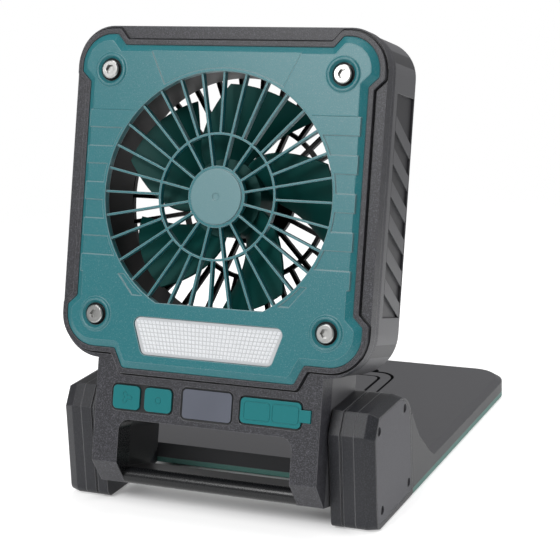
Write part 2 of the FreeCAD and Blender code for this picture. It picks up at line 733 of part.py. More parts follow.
def rear_housing():
    """Rear of the head and the rear half of the legs and grip."""
    bulk = extrude(head_outline(S.band_step), -S.head_depth, -S.parting)
    bulk = fillet_edges(bulk, at_level(-S.head_depth), 5.0)
    legs = outline([
        (-S.head_low + 14, -S.parting), (-S.leg_end, -S.parting),
        (-S.leg_end, -S.parting - 14, 6.0), (-S.leg_end + 12, -S.neck_back + 8, 10.0),
        (-S.pivot_drop - 5, -S.neck_back, 6.0), (-S.head_low + 14, -S.neck_back)], "yz")
    neck = extrude(legs, -S.neck_half, S.neck_half, (1, 0, 0))
    shell = fuse(bulk, neck)
    hollow = extrude(head_outline(S.wall + S.band_step + 2.0), -S.head_depth + S.wall, 5)
    room = outline([
        (S.neck_half - S.wall, -S.head_low + 12), (S.neck_half - S.wall, -S.grip_top + S.wall),
        (-S.neck_half + S.wall, -S.grip_top + S.wall),
        (-S.neck_half + S.wall, -S.head_low + 12)])
    tools = [hollow, extrude(room, -S.neck_back + S.wall, 5), extrude(grip_wire, -80, 5),
             cylinder(0, 0, -80, S.grille_radius + S.fit_gap, 60)]
    # Side recess with slanted bars
    outer = S.head_half - S.band_step
    bars = []
    for sign in (-1, 1):
        start = outer - 1.6 if sign > 0 else -outer - 2
        tools.append(box(start, -66, -57, 3.6, 134, 31))
        for index in range(6):
            low = outer - 2 if sign > 0 else -outer + 0.2
            high = outer - 0.2 if sign > 0 else -outer + 2
            bars.append(extrude(outline(side_rib(index), "yz"), low, high, (1, 0, 0)))
    # Seats of the hinge pins
    for sign in (-1, 1):
        reach = S.neck_half - S.grip_half - 0.5
        start = S.grip_half + 1.5 if sign > 0 else -S.neck_half - 1
        tools.append(cylinder(start, -S.pivot_drop, -S.pivot_back, S.pin_radius, reach, "x"))
    shell = cut(shell, *tools)
    # Rear half of the grip and the screw pillars
    rail = common(box(-S.grip_half - 1, -S.bar_drop - S.bar_radius, -S.parting - 26,
                      2 * S.grip_half + 2, 2 * S.bar_radius, 26),
                  extrude(legs, -S.neck_half, S.neck_half, (1, 0, 0)))
    pillars = [cylinder(x, y, -S.head_depth + 1, 5.5, S.head_depth - 1 - S.parting)
               for x, y in SCREWS]
    shell = fuse(shell, rail, *(bars + pillars))
    tools = []
    for x, y in SCREWS:
        tools.append(cylinder(x, y, -S.head_depth - 1, 3.4, 5))
        tools.append(cylinder(x, y, -S.head_depth - 1, 1.6, 40))
    shell = cut(shell, *tools)
    keep("rear_housing", group(shell), HEAD)


def rear_screws():
    screws = []
    for x, y in SCREWS:
        head = cylinder(x, y, -S.head_depth + 1.6, 3.1, 2.2)
        shank = cylinder(x, y, -S.head_depth + 1.6, 1.6, 26)
        slot = box(x - 0.4, y - 2, -S.head_depth + 1.4, 0.8, 4, 1.2)
        screws.append(cut(fuse(head, shank), slot))
    keep("housing_screws", group(*screws), HEAD)


def air_path():
    """Barrel between the cover rim and the rear grille, and the rear grille."""
    outer = S.fan_radius + S.duct_wall
    barrel = tube(0, 0, -S.duct_end, outer, S.fan_radius, S.duct_end - S.rim_deep)
    flange = tube(0, 0, -S.bezel_face - S.wall - 1.6, outer + S.duct_flange, S.fan_radius, 1.6)
    # The flange ends above the lamp
    flange = common(flange, box(-150, -S.lamp_clear, -30, 300, 300, 40))
    keep("air_duct", group(fuse(barrel, flange)), HEAD)
    back = -S.head_depth
    bar = S.grille_bar
    hub = cylinder(0, 0, back, S.grille_hub, S.grille_thick)
    ring = tube(0, 0, back, S.grille_ring + bar / 2, S.grille_ring - bar / 2, S.grille_thick)
    edge = tube(0, 0, back, S.grille_radius, S.grille_radius - bar, S.grille_thick)
    spoke = box(-bar / 2, S.grille_hub - 1, back, bar, S.grille_radius - S.grille_hub - 1,
                S.grille_thick)
    short = box(-bar / 2, S.grille_ring, back, bar, S.grille_radius - S.grille_ring - 2,
                S.grille_thick)
    half_bars = S.grille_count / 2
    spokes = []
    for index in range(int(half_bars.value)):
        spokes.append(turned(spoke, 360 * index / half_bars))
        spokes.append(turned(short, 360 * (index + 0.5) / half_bars))
    angles = [math.radians(120 * index + 60) for index in range(3)]
    seats = []
    for angle in angles:
        x, y = 11 * math.cos(angle), 11 * math.sin(angle)
        seats += [cylinder(x, y, back - 1, 1.7, 10), cylinder(x, y, back - 1, 3.1, 2.6)]
    hub = cut(hub, *seats)
    grille = fuse(hub, edge, ring, *spokes)
    keep("rear_grille", group(grille), HEAD)


def motor():
    seat = -S.head_depth + S.grille_thick
    can = cylinder(0, 0, seat, S.motor_radius, S.motor_long)
    nose = cylinder(0, 0, seat + S.motor_long, 6, 2)
    bore = cylinder(0, 0, seat - 1, S.shaft_radius + S.run_gap, S.motor_long + 8)
    can = cut(fuse(can, nose), bore)
    screws = []
    for index in range(3):
        angle = math.radians(120 * index + 60)
        x, y = 11 * math.cos(angle), 11 * math.sin(angle)
        can = cut(can, cylinder(x, y, seat - 1, 1.5, 7))
        screws.append(fuse(cylinder(x, y, seat - S.grille_thick + 0.2, 2.8, 1.4),
                           cylinder(x, y, seat - S.grille_thick + 1, 1.45, 7.5)))
    keep("motor", group(can), HEAD)
    keep("motor_screws", group(*screws), HEAD)
    shaft = cylinder(0, 0, seat + 1, S.shaft_radius,
                     S.head_depth - S.grille_thick - S.blade_front + 0.6)
    keep("motor_shaft", group(shaft), HEAD)


def blade(stations):
    """One wide twisted blade, lofted through arched sections that turn about the axis."""
    thick = S.blade_thick.value
    sections = []
    for radius, turn, half, pitch, middle in stations:
        turn, pitch = math.radians(turn), math.radians(pitch)
        outward = Vector(math.sin(turn), math.cos(turn), 0)
        sideways = Vector(math.cos(turn), -math.sin(turn), 0)
        up = Vector(0, 0, 1)
        along = sideways * math.cos(pitch) - up * math.sin(pitch)
        over = sideways * math.sin(pitch) + up * math.cos(pitch)
        centre = outward * radius + up * middle
        sag = 0.12 * half
        lower = [centre - along * half, centre + over * sag, centre + along * half]
        upper = [centre + along * half + over * thick, centre + over * (sag + thick),
                 centre - along * half + over * thick]
        sections.append(Part.Wire([
            Part.Arc(*lower).toShape(), Part.makeLine(lower[2], upper[0]),
            Part.Arc(*upper).toShape(), Part.makeLine(upper[2], lower[0])]))
    return Part.makeLoft(sections, True, False)


def fan():
    """Five wide blades on a cup-shaped hub, with the nut that holds it on the shaft."""
    hub_r = S.blade_hub.value
    tip_r = S.blade_tip.value
    back = -S.head_depth.value + S.grille_thick.value + S.motor_long.value + 4
    front = -S.blade_front.value
    # Part of the way to the tip, turn of the section, half chord, pitch and depth
    plan = ((0.0, -13, 13.0, 36, 0.5), (0.25, -1, 21.5, 33, -0.5), (0.5, 10, 25.5, 29, -1.0),
            (0.73, 18, 28.0, 25, -1.5), (1.0, 24, 29.0, 22, -1.5))
    root_r = hub_r - 3.5
    reach = tip_r + 5 - root_r
    middle = (back + front) / 2 - 1.5
    one = blade([(root_r + reach * part, turn, half, pitch, middle + shift)
                 for part, turn, half, pitch, shift in plan])
    one = one.common(Part.makeCylinder(tip_r, 60, Vector(0, 0, middle - 30)))
    count = int(S.blade_count.value)
    hub = Part.makeCylinder(hub_r, front - back + 4, Vector(0, 0, back - 4))
    cup = Part.makeCylinder(hub_r - 2, front - back + 1, Vector(0, 0, back - 4))
    boss = Part.makeCylinder(5, front - back - 2, Vector(0, 0, back))
    outside = Part.makeCylinder(hub_r - 1, 60, Vector(0, 0, middle - 30))
    blades = []
    for index in range(count):
        copy = one.copy()
        copy.rotate(Vector(), Vector(0, 0, 1), 360.0 * index / count)
        blades.append(copy.cut(outside))
    solid = hub.cut(cup).fuse(boss).fuse(blades)
    bore = Part.makeCylinder(S.shaft_radius.value, 80, Vector(0, 0, back - 40))
    solid = solid.cut(bore).removeSplitter()
    piece = doc.addObject("Part::Feature", fresh("fan"))
    piece.Shape = solid
    keep("fan_blades", group(piece), HEAD)
    nut = tube(0, 0, front, 4.2, S.shaft_radius, 1.8)
    keep("fan_nut", group(nut), HEAD)


def control_panel():
    face = -S.bezel_face
    for name in BUTTONS:
        cap = extrude(button_outline(name), face - S.wall - 1.4, face + 0.6)
        flange_wire = plate_outline(BUTTONS[name], -S.panel_line, S.button_wide + 1.8,
                                    S.button_high + 2, S.button_round)
        flange = extrude(flange_wire, face - S.wall - 1.4, face - S.wall - 0.3)
        stem = cylinder(BUTTONS[name], -S.panel_line, face - S.wall - 2.2, 2.0, 1.5)
        keep(name, group(fuse(cap, flange, stem)), HEAD)
    window = extrude(display_outline(), face - 2.0, face - 0.2)
    keep("display_window", group(window), HEAD)
    level = face - S.wall - 7.0
    screen = middle_box(S.display_at, -S.panel_line, level, S.display_wide - 5,
                        S.display_high - 5, 7.4)
    keep("display_module", group(screen), HEAD)
    board = middle_box(0, -S.panel_line, level - S.board_thick, 2 * S.neck_half - 12, 20,
                       S.board_thick)
    keep("control_board", group(board), HEAD)
    switches = []
    for name in BUTTONS:
        base = middle_box(BUTTONS[name], -S.panel_line, level, 6, 6, 3.4)
        button_gap = 7.0 - 2.2 - 3.4 - S.button_travel - 0.15
        plunger = cylinder(BUTTONS[name], -S.panel_line, level + 3.4, 1.6, button_gap)
        switches.append(fuse(base, plunger))
    keep("switches", group(*switches), HEAD)
    ports = []
    for shift, wide, high in ((-9.5, 14.0, 6.6), (8.5, 9.2, 3.6)):
        shell = middle_box(S.port_at + shift, -S.panel_line, level, wide, high, 7.4)
        bore = middle_box(S.port_at + shift, -S.panel_line, level + 1, wide - 1, high - 1, 10)
        tongue = middle_box(S.port_at + shift, -S.panel_line, level + 0.5, wide - 3,
                            (high - 1) / 3, 5.4)
        ports.append(fuse(cut(shell, bore), tongue))
    keep("charging_ports", group(*ports), HEAD)
    half_thick = 0.85
    edge = S.port_at - S.port_wide / 2 + half_thick
    flap = extrude(port_outline(), face - 1.2, face + 0.5)
    knuckle = cylinder(edge, -S.panel_line - S.port_high / 2 + 3, face - 0.35, half_thick,
                       S.port_high - 6, "y")
    tab = middle_box(S.port_at + S.port_wide / 2 + S.port_tab / 2 - 0.5, -S.panel_line,
                     face - 1.2, S.port_tab + 1, S.tab_high, 2.2)
    keep("port_cover", group(fuse(flap, knuckle, tab)), HEAD)


def hinge_pins():
    for label, sign in (("left_hinge_pin", -1), ("right_hinge_pin", 1)):
        inner = S.neck_half - 10
        start = inner if sign > 0 else -inner - S.pin_long
        pin = cylinder(start, -S.pivot_drop, -S.pivot_back, S.pin_radius, S.pin_long, "x")
        keep(label, group(pin), HEAD)


def block_profile(inset=0, top_inset=0, rear=0, low=0):
    """Side view of a hinge block; the insets move its front and top, its rear and its foot."""
    front, top, rear, low = (size_of(c) for c in (inset, top_inset, rear, low))
    crest = S.block_high - top
    return outline([
        (front, low, S.block_low_round), (S.block_long - rear, low, 2.0),
        (S.block_long - rear, crest, S.block_round - top),
        (S.facet_deep + front * 0.6, crest), (front, S.block_face - front * 0.6)], "yz")


def evenly(inset):
    return block_profile(inset, inset, inset, inset)


def across(wire, x):
    """Moves a side view to a level across the object."""
    return place(wire, x, 0, 0, (1, 1, 1), 120)


def hinge_blocks():
    """Inner and outer housings, side covers, friction washers, cells and screws."""
    inner_face = S.neck_half + S.side_gap
    strip_end = inner_face + S.strip_wide
    groove_end = strip_end + S.block_groove
    bevel_start = S.block_out - S.bevel_wide
    room_end = S.block_out - 4.0
    plate_face = S.block_out - S.side_plate
    full = block_profile()
    bulk = fuse(extrude(full, inner_face, strip_end, (1, 0, 0)),
                extrude(block_profile(1.0, 1.0), strip_end, groove_end, (1, 0, 0)),
                extrude(full, groove_end, block_seam, (1, 0, 0)))
    cavity = extrude(evenly(S.wall), inner_face + S.wall, block_seam + 5, (1, 0, 0))
    boss = cylinder(inner_face + 1, S.pivot_y, S.pivot_up, 9, 5.2, "x")
    bore = cylinder(inner_face - 5, S.pivot_y, S.pivot_up, S.pin_radius + S.run_gap, 25, "x")
    inner = cut(fuse(cut(bulk, cavity), boss), bore)
    plate_inset = S.bevel_deep + 0.4
    straight = cut(extrude(full, block_seam, bevel_start, (1, 0, 0)),
                   extrude(evenly(S.wall), block_seam - 5, bevel_start + 5, (1, 0, 0)))
    bevelled = loft(across(block_profile(), bevel_start),
                    across(block_profile(S.bevel_deep, S.bevel_deep), S.block_out))
    bevelled = cut(bevelled,
                   extrude(evenly(S.wall + 0.3), bevel_start - 5, room_end, (1, 0, 0)))
    bevelled = cut(bevelled,
                   extrude(evenly(plate_inset + 4.5), room_end - 5, S.block_out + 5, (1, 0, 0)))
    bevelled = cut(bevelled,
                   extrude(evenly(plate_inset - S.fit_gap), plate_face, S.block_out + 5,
                           (1, 0, 0)))
    holes = [(S.block_long - 12.5, S.block_high - 11.5), (size_of(9.5), S.block_face + 1.5),
             (S.block_long - 7.5, size_of(10.5)), (size_of(12.0), size_of(10.5))]
    plate = extrude(evenly(plate_inset), plate_face, S.block_out, (1, 0, 0))
    pillar_start = block_seam + 4.5
    pillar_long = plate_face - pillar_start
    drills = [cylinder(pillar_start - 1, y, z, 1.3, 20, "x") for y, z in holes]
    pillars = [tube(pillar_start, y, z, 3.6, 1.3, pillar_long, "x") for y, z in holes]
    outer = fuse(straight, cut(bevelled, *drills), *pillars)
    plate_tools = []
    screws = []
    for y, z in holes:
        plate_tools += [cylinder(S.block_out - 2.0, y, z, 2.9, 5, "x"),
                        cylinder(S.block_out - 5, y, z, 1.5, 10, "x")]
        screws.append(fuse(cylinder(S.block_out - 2.0, y, z, 2.35, 1.1, "x"),
                           cylinder(S.block_out - 8.0, y, z, 1.25, 6.2, "x")))
    plate = cut(plate, *plate_tools)
    washer = tube(S.neck_half + 0.05, S.pivot_y, S.pivot_up, 12, S.pin_radius + S.run_gap,
                  S.side_gap - 0.1, "x")
    cell_x = room_end - 0.2 - S.cell_radius
    cells = []
    for y in (24.0, 44.0):
        can = cylinder(cell_x, y, S.wall + 0.5, S.cell_radius, S.cell_long)
        nub = cylinder(cell_x, y, S.wall + 0.5 + S.cell_long, 2.6, 1.0)
        cells.append(fuse(can, nub))
    contacts = [middle_box(cell_x, 34, level, 12, 30, 0.5)
                for level in (S.wall, S.wall + S.cell_long + 1.5)]
    pieces = {
        "block_inner": inner, "block_outer": outer, "side_cover": plate,
        "side_screws": group(*screws), "friction_washer": washer,
        "battery_cells": group(*cells), "battery_contacts": group(*contacts)}
    for name, piece in pieces.items():
        twin = doc.addObject("Part::Mirroring", fresh("mirror"))
        twin.Source = piece
        twin.Normal = Vector(1, 0, 0)
        keep("left_" + name, group(twin), BASE)
        keep("right_" + name, group(piece), BASE)


def base_outline(inset=0, front=0):
    inset, front = size_of(inset), size_of(front)
    half, end = S.block_out - inset, S.plate_end - inset
    start = S.plate_front + front
    return outline([
        (half, start), (half, end, S.plate_round - inset),
        (-half, end, S.plate_round - inset), (-half, start)])


def loop_outline(inset, front):
    """The hanging loop seen from above, moved in by an inset, with its own front end."""
    inset = size_of(inset)
    half, end = S.loop_half - inset, S.loop_end - inset
    corner = S.loop_round - inset * 0.8
    return outline([(half, front), (half, end, corner), (-half, end, corner), (-half, front)])


def base_plate():
    tray = cut(extrude(base_outline(), 0, S.plate_seam),
               extrude(base_outline(S.wall, S.wall), S.wall, 40))
    bevel_start = S.plate_high - S.plate_chamfer * 0.62
    lid = fuse(extrude(base_outline(), S.plate_seam, bevel_start),
               loft(place(base_outline(), 0, 0, bevel_start),
                    place(base_outline(S.plate_chamfer), 0, 0, S.plate_high)))
    lid = cut(lid, extrude(base_outline(S.wall + 1.2, S.wall), 0, S.plate_high - S.wall))
    # Screw posts of the base
    posts = [(x, y) for x in (-80, 80) for y in (130, 265)]
    screws = []
    lid = fuse(lid, *[cylinder(x, y, S.wall + 0.1, 4, S.plate_high - S.wall - 0.5)
                      for x, y in posts])
    lid = cut(lid, *[cylinder(x, y, -1, 1.3, S.plate_high - S.wall) for x, y in posts])
    tray_tools = []
    for x, y in posts:
        tray_tools += [cylinder(x, y, -1, 1.6, 10), cylinder(x, y, -1, 3.2, 2.4)]
        screws.append(fuse(cylinder(x, y, 0.2, 3.0, 1.2), cylinder(x, y, 0.4, 1.25, 9)))
    # Recess of the hanging loop, with its floor, and a finger notch behind the loop
    floor = S.plate_high - S.loop_thick - 1.0
    front = S.loop_pivot - 4.5
    room = loop_outline(-S.loop_gap, front)
    lid = fuse(lid, extrude(room, floor - 1.6, S.plate_high - 0.5))
    island = extrude(loop_outline(S.loop_bar + S.loop_gap, front - 1), 0, 60)
    lid = cut(lid, cut(extrude(room, floor, 40), island))
    notch = extrude(plate_outline(0, S.loop_end + 1, 26, 12, 5), floor, 40)
    lid = cut(lid, notch)
    # Gussets that carry the hinge blocks: a thin outer cheek and a web behind the block
    slope = outline([
        (S.plate_front, S.plate_seam), (S.gusset_end, S.plate_seam),
        (S.gusset_end, S.plate_high - 4), (S.gusset_end - 9, S.plate_high + 1.5),
        (S.plate_front + 14, S.gusset_high - 20), (S.plate_front, S.gusset_high)], "yz")
    gussets = []
    for sign in (-1, 1):
        outer = S.block_out if sign > 0 else -S.block_out + S.gusset_thick
        gussets.append(extrude(slope, outer - S.gusset_thick, outer, (1, 0, 0)))
        start = S.block_out - S.gusset_wide if sign > 0 else -S.block_out
        gussets.append(box(start, S.plate_front, S.plate_seam, S.gusset_wide, 2,
                           S.gusset_high - S.plate_seam))
    # Bores of the pins of the hanging loop
    axis_z = S.plate_high - S.loop_thick / 2 - 0.2
    pin_end = S.loop_half + S.loop_gap + 1.5
    lid = cut(fuse(lid, *gussets),
              cylinder(-pin_end, S.loop_pivot, axis_z, 1.2, 2 * pin_end, "x"))
    tray = cut(tray, *tray_tools)
    keep("base_top_shell", group(lid), BASE)
    keep("base_bottom_shell", group(tray), BASE)
    keep("base_screws", group(*screws), BASE)
    feet = []
    for x, y in ((-91.5, 26), (91.5, 26), (-84, 272), (84, 272)):
        feet.append(cylinder(x, y, -S.foot_height, S.foot_radius, S.foot_height))
    keep("rubber_feet", group(*feet), BASE)


def hanging_loop():
    level = S.plate_high - S.loop_thick - 0.2
    axis_z = level + S.loop_thick / 2
    bar = cut(extrude(loop_outline(0, S.loop_pivot), level, level + S.loop_thick),
              extrude(loop_outline(S.loop_bar, S.loop_pivot - 5), level - 1, level + 20))
    eyes = [cylinder(start, S.loop_pivot, axis_z, S.loop_thick / 2, S.loop_bar, "x")
            for start in (-S.loop_half, S.loop_half - S.loop_bar)]
    bore = cylinder(-60, S.loop_pivot, axis_z, 1.2 + S.run_gap, 120, "x")
    bar = cut(fuse(bar, *eyes), bore)
    keep("hanging_loop", group(bar), BASE)
    pins = []
    for start in (-S.loop_half - S.loop_gap - 1.5, S.loop_half - S.loop_bar - S.loop_gap - 1.5):
        length = S.loop_bar + 2 * S.loop_gap + 3
        pins.append(cylinder(start, S.loop_pivot, axis_z, 1.2, length, "x"))
    keep("loop_pins", group(*pins), BASE)


front_cover()
cover_screws()
led_lamp()
front_shell()
rear_housing()
rear_screws()
air_path()
motor()
fan()
control_panel()
hinge_pins()
hinge_blocks()
base_plate()
hanging_loop()
doc.recompute()

for item in doc.Objects:
    if "Invalid" in item.State or "Error" in item.State:
        raise RuntimeError("failed object: %s %s" % (item.Name, item.State))
for label, item in NODES.items():
    if item.Shape.isNull() or not item.Shape.isValid():
        raise RuntimeError("bad shape: %s" % label)
    item.Shape.exportStep("parts/%s.step" % label)
    print("%-24s solids %2d volume %10.1f" % (label, len(item.Shape.Solids), item.Shape.Volume))
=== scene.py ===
"""Looks of a portable camping fan: moulded finishes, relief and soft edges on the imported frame."""

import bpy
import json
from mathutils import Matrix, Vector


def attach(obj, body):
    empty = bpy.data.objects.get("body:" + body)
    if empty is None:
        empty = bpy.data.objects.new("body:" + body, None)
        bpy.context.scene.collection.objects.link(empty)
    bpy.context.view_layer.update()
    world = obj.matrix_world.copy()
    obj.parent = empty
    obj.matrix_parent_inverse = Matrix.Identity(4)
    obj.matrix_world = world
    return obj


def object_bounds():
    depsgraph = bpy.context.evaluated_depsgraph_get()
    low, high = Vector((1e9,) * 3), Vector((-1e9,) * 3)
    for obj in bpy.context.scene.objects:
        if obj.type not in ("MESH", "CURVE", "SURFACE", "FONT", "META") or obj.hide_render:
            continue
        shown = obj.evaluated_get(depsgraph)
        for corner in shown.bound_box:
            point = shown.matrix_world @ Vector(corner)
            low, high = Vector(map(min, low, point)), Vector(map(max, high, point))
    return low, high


bl_info = {
    "name": "Camping Fan Looks",
    "version": (1, 0, 0),
    "blender": (4, 5, 0),
    "location": "View3D > Sidebar > Camping Fan",
    "description": "Dresses the frame of a portable camping fan and sets its stage",
    "category": "Add Mesh",
}

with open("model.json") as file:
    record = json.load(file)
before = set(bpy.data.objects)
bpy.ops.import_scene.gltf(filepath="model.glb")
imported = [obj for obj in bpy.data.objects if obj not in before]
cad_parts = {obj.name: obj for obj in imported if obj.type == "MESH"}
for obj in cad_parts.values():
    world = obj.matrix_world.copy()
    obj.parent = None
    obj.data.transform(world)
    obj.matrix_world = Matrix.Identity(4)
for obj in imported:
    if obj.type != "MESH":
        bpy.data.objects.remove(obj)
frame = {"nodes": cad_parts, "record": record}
FRAME_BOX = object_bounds()

import json
import math

import bpy
import numpy as np
from bpy.props import FloatProperty, FloatVectorProperty, IntProperty, PointerProperty
from mathutils import Matrix, Vector

NODE_SLOT = {part["node"]: part["material_slot"] for part in frame["record"]["subparts"]}
MM = 0.001

# The head's own directions in the frame: across, up along the head, and out of the grille.
JOINTS = {joint["name"]: joint for joint in frame["record"]["behaviour"]["joints"]}
OUTWARD = Vector(JOINTS["fan_spin"]["axis"]).normalized()
ACROSS = Vector((1.0, 0.0, 0.0))
UPWARD = OUTWARD.cross(ACROSS).normalized()
FAN_CENTRE = Vector(JOINTS["fan_spin"]["pos_m"]) + OUTWARD * 30 * MM


# These places bound the painted shade of the opening, the side recesses and the grooves, and the
# painted sheen of the hub disc.
# Places on the head in metres from the fan's centre. Across: half the grip's opening, and the
# band that holds the floors of the side recesses. Along the head, downward: where the grip's
# opening starts, where its bar starts and where the grooves round the cover end. Outward: just
# above the floors of those grooves. Last, the radius of the grille's hub disc.
GRIP_HALF = 0.0589
SIDE_RECESS_FLOOR = (0.0985, 0.1018)
GRIP_OPENING_START = -0.1385
GRIP_BAR_START = -0.1705
GROOVES_END = -0.1375
GROOVE_LEVEL = -0.0053
HUB_RADIUS = 0.0166

# Relief on the controls and the lens in millimetres on the head: u across, v along, w outward.
CONTROLS_V = -127.2
PORT_FRAMES = {"port_cover_line_left": 34.6, "port_cover_line_right": 53.2}
PORT_FRAME_SIZE = (17.0, 11.0)
PORT_FRAME_CORNER = 2.0
PORT_FRAME_W = -4.5
FAN_BUTTON_U = -54.2
LIGHT_BUTTON_U = -32.2
SIGN_W = -4.4
ROTOR_RADIUS = 2.6
ROTOR_LOBE = 1.3
LAMP_RADIUS = 1.9
LINE_HEIGHT_SHARE = 0.8
LENS_TOP_V = -77.9
LENS_HEIGHT = 20.0
LENS_TOP_HALF = 49.2
LENS_BOTTOM_HALF = 41.8
PRISM_FOOT_W = -0.95
PRISM_HEIGHT = 0.75
CUTS_PER_PRISM = 4

# Stage: the floor in metres, whose glow starts a little inside the object's own box; the world's
# strength as a light and where it is seen; the lamps as name, place, side in metres and watts.
FLOOR_HALF = 1.6
FLOOR_FADE = (0.3, 0.85)
FLOOR_GLOW = (0.5, 0.5, 0.5, 1.0)
FLOOR_TONES = ((0.84, 0.84, 0.84, 1.0), (0.87, 0.87, 0.87, 1.0))
GLOW_INSET = 0.04
LIT_STRENGTH = 0.3
SEEN_STRENGTH = 1.0
LAMPS = (("side", (1.5, 0.62, 0.8), 1.1, 8.5),
         ("front", (-0.32, -1.35, 0.98), 0.6, 14.0),
         ("top", (0.1, 0.5, 1.8), 1.2, 16.0))
LAMP_AIM = Vector((0.0, 0.0, 0.12))
# The photo's camera: azimuth, height and roll in degrees, then millimetres from a point on the
# object back, right and up, and its focal length in pixels of the photo's width.
CAMERA_ANGLES = (23.979, 14.466, -2.087)
CAMERA_TARGET = Vector((0.0, -37.0464, 151.2))
CAMERA_BACK, CAMERA_RIGHT, CAMERA_UP = 1073.17, 5.212, -24.376
FOCAL_PIXELS = 1636.759
PHOTO_PIXELS = 560.0
SENSOR_WIDTH = 36.0


def srgb(red, green, blue):
    """Linear colour of a screen colour 0..255: ((c + 0.055) / 1.055) ** 2.4 above the toe."""
    channels = np.array([red, green, blue]) / 255.0
    linear = np.where(channels <= 0.04045, channels / 12.92,
                      ((channels + 0.055) / 1.055) ** 2.4)
    return tuple(float(c) for c in linear) + (1.0,)


class Signal:
    """A shader socket whose arithmetic adds Math nodes."""

    def __init__(self, finish, socket):
        self.finish = finish
        self.socket = socket

    def math(self, operation, first, second):
        return self.finish.node("ShaderNodeMath", {"operation": operation},
                                {0: first, 1: second})

    def __add__(self, other):
        return self.math("ADD", self, other)

    def __radd__(self, other):
        return self.math("ADD", other, self)

    def __sub__(self, other):
        return self.math("SUBTRACT", self, other)

    def __rsub__(self, other):
        return self.math("SUBTRACT", other, self)

    def __mul__(self, other):
        return self.math("MULTIPLY", self, other)

    def __abs__(self):
        return self.math("ABSOLUTE", self, 0.0)

    def __gt__(self, other):
        return self.math("GREATER_THAN", self, other)

    def __lt__(self, other):
        return self.math("LESS_THAN", self, other)

    def larger(self, other):
        return self.math("MAXIMUM", self, other)


class Finish:
    """A material with one Principled shader, built by expressions on its sockets."""

    SOCKETS = {"colour": "Base Color", "roughness": "Roughness", "normal": "Normal",
               "alpha": "Alpha", "glow": "Emission Color"}

    def __init__(self, name, roughness=0.5, metallic=0.0, coat=0.0, specular=0.5):
        self.material = bpy.data.materials.new(name)
        self.material.use_nodes = True
        self.tree = self.material.node_tree
        self.shader = self.tree.nodes["Principled BSDF"]
        self.shader.inputs["Roughness"].default_value = roughness
        self.shader.inputs["Metallic"].default_value = metallic
        self.shader.inputs["Coat Weight"].default_value = coat
        self.shader.inputs["Specular IOR Level"].default_value = specular
        self.place = self.tree.nodes.new("ShaderNodeTexCoord").outputs["Object"]

    def node(self, kind, settings=None, inputs=None, output=0):
        """A node of a type: its settings first, then the values or links of its sockets."""
        node = self.tree.nodes.new(kind)
        for key, value in (settings or {}).items():
            setattr(node, key, value)
        for key, value in (inputs or {}).items():
            if isinstance(value, Signal):
                value = value.socket
            if isinstance(value, bpy.types.NodeSocket):
                self.tree.links.new(value, node.inputs[key])
            else:
                node.inputs[key].default_value = value
        return Signal(self, node.outputs[output])

    def noise(self, scale, detail=2.0, roughness=0.5):
        """Cloudy noise in 0..1 over the object's own coordinates, scale in cycles a metre."""
        return self.node("ShaderNodeTexNoise", None,
                         {"Vector": self.place, "Scale": scale, "Detail": detail,
                          "Roughness": roughness})

    def dot(self, first, second):
        return self.node("ShaderNodeVectorMath", {"operation": "DOT_PRODUCT"},
                         {0: first, 1: second}, 1)

    def along(self, axis, origin):
        """Distance of a point from an origin along an axis: point . axis - origin . axis."""
        return self.dot(self.place, tuple(axis)) - float(origin.dot(axis))

    def facing(self, direction):
        """How squarely a face looks in a direction: its own flat normal . direction."""
        flat = self.node("ShaderNodeNewGeometry", output="True Normal")
        return self.dot(flat, tuple(direction))

    def cells(self, scale):
        """Distance to the nearest of the points scattered with a scale."""
        return self.node("ShaderNodeTexVoronoi", {"feature": "F1"},
                         {"Vector": self.place, "Scale": scale})

    def step(self, signal, low, high):
        """0 below low, 1 above high, smooth between."""
        return self.node("ShaderNodeMapRange", {"interpolation_type": "SMOOTHSTEP"},
                         {"Value": signal, "From Min": low, "From Max": high})

    def mix(self, factor, first, second):
        """The first colour at factor 0, the second at 1."""
        return self.node("ShaderNodeMix", {"data_type": "RGBA"},
                         {0: factor, 6: first, 7: second}, 2)

    def soft_edges(self, radius):
        """Normals that turn smoothly across every edge within a radius, as moulded edges do."""
        return self.node("ShaderNodeBevel", {"samples": 6}, {"Radius": radius})

    def edge_mask(self, soft, low, high):
        """1 where the softened normal departs from the face's own: 1 - n_soft . n_face."""
        face = self.node("ShaderNodeNewGeometry", output="Normal")
        return self.step(1 - self.dot(soft, face), low, high)

    def bump(self, height, strength, distance, soft=None):
        """Normals turned by a height of the given distance in metres, over the soft edges."""
        inputs = {"Height": height, "Strength": strength, "Distance": distance}
        if soft is not None:
            inputs["Normal"] = soft
        return self.node("ShaderNodeBump", None, inputs)

    def feed(self, **sockets):
        """Links signals to the shader's sockets and gives the finished material."""
        for name, signal in sockets.items():
            self.tree.links.new(signal.socket, self.shader.inputs[self.SOCKETS[name]])
        return self.material


def grip_and_opening_shade_zone(finish):
    """1 on the bar (its own black) and its opening's walls (painted shade), across and along the
    head.
    """
    across = abs(finish.along(ACROSS, FAN_CENTRE)) < GRIP_HALF
    along = finish.along(UPWARD, FAN_CENTRE)
    wall = finish.facing(OUTWARD) < 0.6
    return across * (wall * (along < GRIP_OPENING_START)).larger(along < GRIP_BAR_START)


def groove_shade_zone(finish):
    """1 on the floors of the shallow grooves round the cover and the controls, for painted shade."""
    deep = finish.along(OUTWARD, FAN_CENTRE) < GROOVE_LEVEL
    level = finish.facing(OUTWARD) > 0.95
    return deep * level * (finish.along(UPWARD, FAN_CENTRE) > GROOVES_END)


def shaded(colour, factor):
    """A colour made lighter or darker by a factor."""
    return tuple(min(1.0, channel * factor) for channel in colour[:3]) + (1.0,)


def paler(colour, part):
    """A colour moved towards white by a part."""
    return tuple(channel + (1.0 - channel) * part for channel in colour[:3]) + (1.0,)


